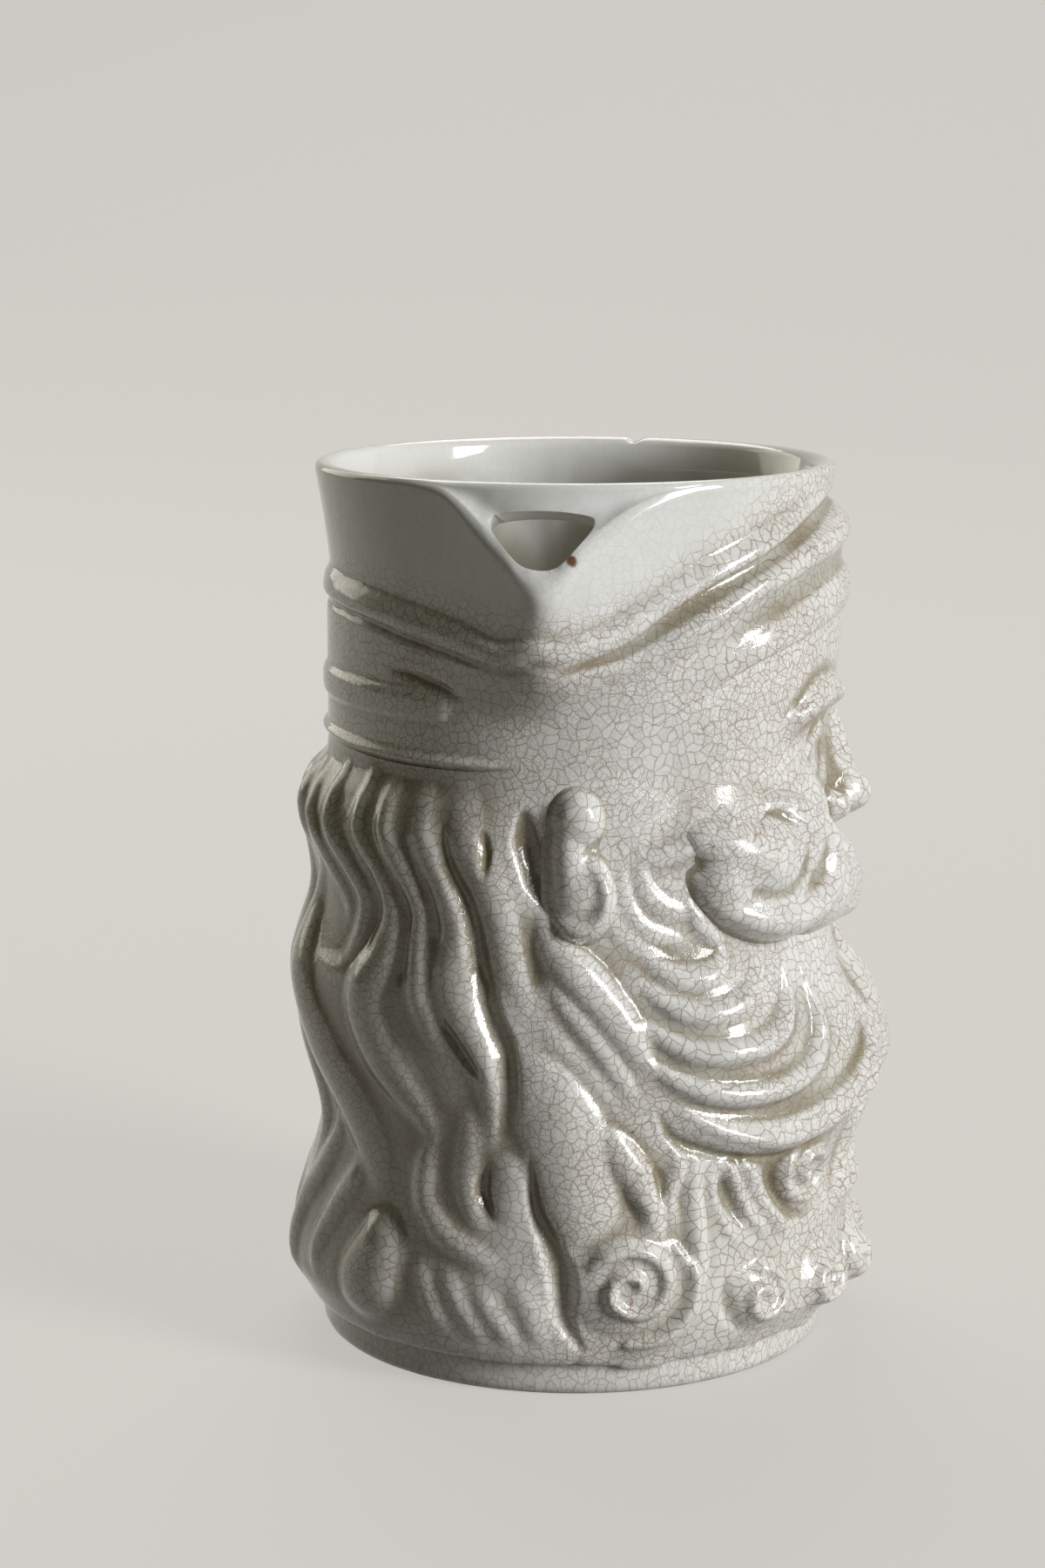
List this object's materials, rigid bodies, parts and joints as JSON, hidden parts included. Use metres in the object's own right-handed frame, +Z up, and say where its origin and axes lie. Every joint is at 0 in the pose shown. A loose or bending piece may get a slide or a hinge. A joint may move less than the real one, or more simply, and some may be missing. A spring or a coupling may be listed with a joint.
{
  "type": "head-shaped pouring jug",
  "caption": "Glazed earthenware jug moulded as a bearded head in a cocked hat, with a pouring hole in the hat's corner and a side handle.",
  "frame": {"origin": "middle of the flat underside of the base", "axes": "+Z up through the mouth, +X the way the face looks, -Y the pouring corner, +Y the handle"},
  "size_m": [0.1156, 0.1518, 0.17],
  "materials": {
    "crackle_glaze": "high gloss glaze over off-white earthenware, crazed with fine brown lines"
  },
  "bodies": {
    "root": {"base_disc": "crackle_glaze", "face_half_shell": "crackle_glaze", "hair_half_shell": "crackle_glaze", "cap_band": "crackle_glaze", "cocked_hat": "crackle_glaze", "handle": "crackle_glaze", "ear_pouring_side": "crackle_glaze", "ear_handle_side": "crackle_glaze", "moustache_pouring_side": "crackle_glaze", "moustache_handle_side": "crackle_glaze"}
  },
  "joints": []
}
